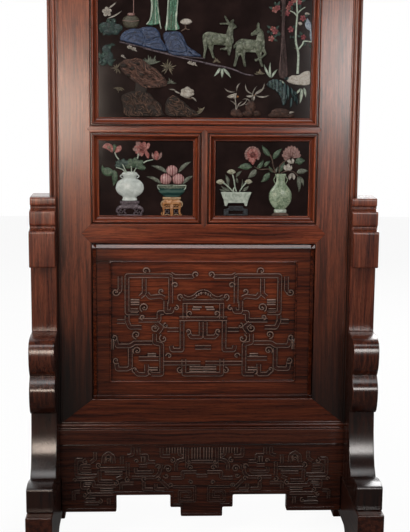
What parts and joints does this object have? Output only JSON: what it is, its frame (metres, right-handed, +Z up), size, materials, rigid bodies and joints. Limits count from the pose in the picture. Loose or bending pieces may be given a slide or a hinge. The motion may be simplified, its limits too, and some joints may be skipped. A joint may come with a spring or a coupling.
{
  "type": "inlaid wooden floor screen",
  "caption": "Hardwood floor screen: a mitred frame with hardstone-inlaid lacquer boards and a carved panel, dropped into a stand with scrolled brackets and an apron.",
  "frame": {"origin": "on the floor, under the middle of the screen", "axes": "+Z up, -Y towards the inlaid front, +X to the viewer's right"},
  "size_m": [0.853, 0.55, 1.9688],
  "materials": {
    "stand_wood": "satin wax over dark rosewood",
    "frame_wood": "satin wax over rosewood",
    "moulding_wood": "satin wax over rosewood",
    "back_wood": "plain oiled boards",
    "lacquer": "rubbed dark lacquer",
    "white_stone": "polished white jade",
    "pale_green_stone": "polished green hardstone",
    "dark_green_stone": "polished dark green hardstone",
    "blue_stone": "carved blue hardstone",
    "yellow_stone": "polished yellow hardstone",
    "pink_stone": "polished pink hardstone",
    "brown_stone": "carved brown soapstone and wood"
  },
  "bodies": {
    "stand": {"foot_left": "stand_wood", "foot_right": "stand_wood", "post_left": "stand_wood", "post_right": "stand_wood", "bracket_front_left": "stand_wood", "bracket_front_right": "stand_wood", "bracket_back_left": "stand_wood", "bracket_back_right": "stand_wood", "stand_rail": "stand_wood", "apron": "stand_wood"},
    "screen": {"stile_left": "frame_wood", "stile_right": "frame_wood", "top_rail": "frame_wood", "bottom_rail": "frame_wood", "upper_divider_rail": "frame_wood", "lower_divider_rail": "frame_wood", "muntin": "frame_wood", "carved_panel": "frame_wood", "large_moulding_top": "moulding_wood", "large_moulding_bottom": "moulding_wood", "large_moulding_left": "moulding_wood", "large_moulding_right": "moulding_wood", "small_moulding_left_top": "moulding_wood", "small_moulding_left_bottom": "moulding_wood", "small_moulding_left_left": "moulding_wood", "small_moulding_left_right": "moulding_wood", "small_moulding_right_top": "moulding_wood", "small_moulding_right_bottom": "moulding_wood", "small_moulding_right_left": "moulding_wood", "small_moulding_right_right": "moulding_wood", "large_lacquer_board": "lacquer", "small_lacquer_board_left": "lacquer", "small_lacquer_board_right": "lacquer", "large_back_board": "back_wood", "small_back_board_left": "back_wood", "small_back_board_right": "back_wood", "white_jade_vase": "white_stone", "white_vase_stand": "brown_stone", "green_bowl": "dark_green_stone", "yellow_bowl_stand": "yellow_stone", "peach_cluster": "pink_stone", "jade_planter": "white_stone", "planter_stand": "brown_stone", "celadon_vase": "pale_green_stone", "celadon_vase_base": "brown_stone", "standing_deer": "pale_green_stone", "turning_deer": "pale_green_stone", "lapis_rock_left": "blue_stone", "lapis_rock_right": "blue_stone", "pine_trunk_left": "pale_green_stone", "pine_trunk_right": "pale_green_stone", "brown_tree_trunk": "brown_stone", "brown_rock_upper": "brown_stone", "brown_rock_middle": "brown_stone", "brown_rock_lower": "brown_stone", "cream_rock": "white_stone", "malachite_rock": "dark_green_stone"}
  },
  "joints": [
    {"name": "screen_lift", "type": "slide", "parent": "stand", "child": "screen", "axis": [0, 0, 1], "range_m": [0, 0.62]}
  ]
}
